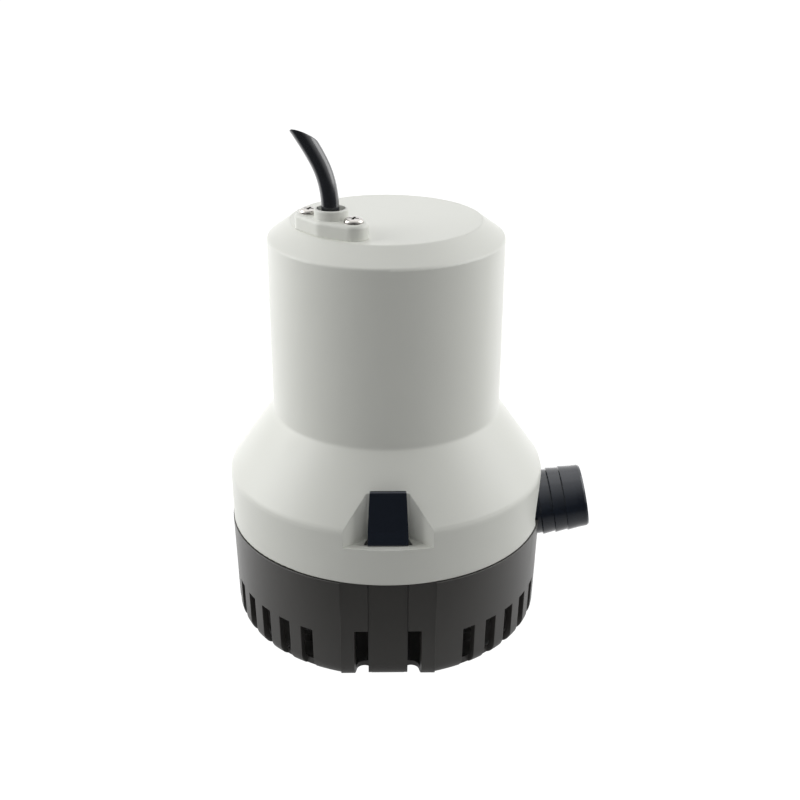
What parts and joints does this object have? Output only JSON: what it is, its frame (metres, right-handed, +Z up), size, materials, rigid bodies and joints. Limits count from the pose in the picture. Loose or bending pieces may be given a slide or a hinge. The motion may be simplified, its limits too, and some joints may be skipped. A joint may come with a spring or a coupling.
{
  "type": "bilge pump",
  "caption": "Submersible bilge pump: white motor housing and pump casing with a ribbed hose barb, held by two latches on a slotted black strainer base.",
  "frame": {"origin": "centre of the strainer base's underside, on the pump's axis", "axes": "+Z up along the pump's axis, +X towards the hose barb, -Y towards the front latch"},
  "size_m": [0.1633, 0.1398, 0.226],
  "materials": {
    "white_plastic": "moulded, satin",
    "black_plastic": "moulded, satin",
    "black_rubber": "moulded",
    "stainless": "bright",
    "plated_steel": "zinc plated",
    "bronze": "sintered",
    "ferrite": "ground",
    "card_brown": "phenolic board",
    "brass": "stamped",
    "carbon": "pressed carbon",
    "cable_jacket": "extruded, satin",
    "lead_brown": "extruded",
    "core_steel": "laminated",
    "copper": "enamelled copper"
  },
  "bodies": {
    "base": {"strainer_base": "black_plastic"},
    "latch_front": {"latch_tongue_front": "black_plastic"},
    "latch_back": {"latch_tongue_back": "black_plastic"},
    "pump": {"motor_housing": "white_plastic", "volute_casing": "black_plastic", "casing_o_ring": "black_rubber", "casing_screws": "stainless", "seal_plate": "black_plastic", "housing_o_ring": "black_rubber", "shaft_seal_lower": "black_rubber", "shaft_seal_upper": "black_rubber", "seal_spacer": "black_plastic", "motor_can": "plated_steel", "motor_end_cap": "black_plastic", "bearing_lower": "bronze", "bearing_upper": "bronze", "magnets": "ferrite", "brush_card": "card_brown", "brush_holders": "brass", "carbon_brushes": "carbon", "brush_springs": "stainless", "terminals": "brass", "push_on_connectors": "brass", "motor_cushion_lower": "black_rubber", "motor_cushion_upper": "black_rubber", "cable_gland": "white_plastic", "gland_seal": "black_rubber", "gland_screws": "stainless", "power_cable": "cable_jacket", "lead_positive": "lead_brown", "lead_negative": "cable_jacket"},
    "rotor": {"motor_shaft": "stainless", "armature_core": "core_steel", "armature_windings": "copper", "commutator": "copper", "thrust_washers": "card_brown", "slinger_ring": "black_rubber", "impeller": "black_plastic", "impeller_washer": "stainless", "impeller_nut": "stainless"}
  },
  "joints": [
    {"name": "pump_lift", "type": "slide", "parent": "base", "child": "pump", "axis": [0, 0, 1], "range_m": [0, 0.04], "deforming": ["latch_tongue_front", "latch_tongue_back"]},
    {"name": "rotor_spin", "type": "hinge", "parent": "pump", "child": "rotor", "pos_m": [0, 0, 0.04], "axis": [0, 0, 1], "continuous": true},
    {"name": "latch_front_press", "type": "hinge", "parent": "base", "child": "latch_front", "pos_m": [0, -0.0626, 0.0036], "axis": [-1, 0, 0], "range_deg": [0, 1.45], "stiffness_Nm_per_rad": 2, "springref_deg": -1.15},
    {"name": "latch_back_press", "type": "hinge", "parent": "base", "child": "latch_back", "pos_m": [0, 0.0626, 0.0036], "axis": [1, 0, 0], "range_deg": [0, 1.45], "stiffness_Nm_per_rad": 2, "springref_deg": -1.15}
  ]
}
